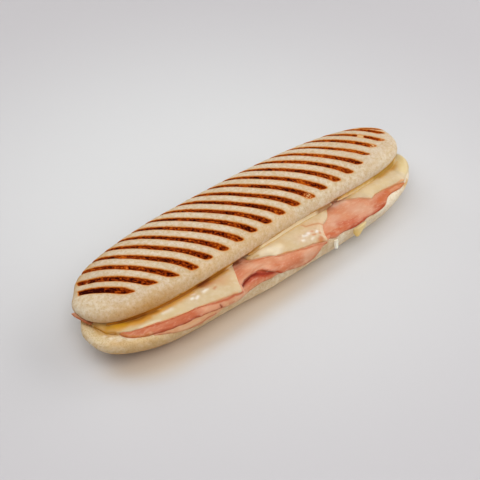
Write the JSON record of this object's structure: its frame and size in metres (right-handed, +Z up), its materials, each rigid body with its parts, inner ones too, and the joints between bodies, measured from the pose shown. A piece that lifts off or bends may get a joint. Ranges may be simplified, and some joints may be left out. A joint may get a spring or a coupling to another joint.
{
  "type": "grilled panini sandwich",
  "caption": "Long pressed bread roll with diagonal grill marks on its crust, its shifted top half showing slices of ham and melted cheese along one side.",
  "frame": {"origin": "centre of the bounding box in plan, on the surface that the roll lies on", "axes": "+X along the roll, +Z up, -Y the side on which the filling shows"},
  "size_m": [0.2655, 0.0843, 0.0391],
  "materials": {
    "crust_bottom": "pale baked crust with a soft crumb rim",
    "crust_top": "pale baked crust with brown grill marks",
    "ham": "moist cooked ham",
    "cheese": "soft melted cheese"
  },
  "bodies": {
    "root": {"bread_bottom": "crust_bottom", "bread_top": "crust_top", "ham_left": "ham", "ham_left_lower": "ham", "ham_middle": "ham", "ham_middle_lower": "ham", "ham_right": "ham", "ham_scrap": "ham", "cheese_left": "cheese", "cheese_middle": "cheese", "cheese_right": "cheese", "cheese_drip": "cheese", "cheese_shred": "cheese"}
  },
  "joints": []
}
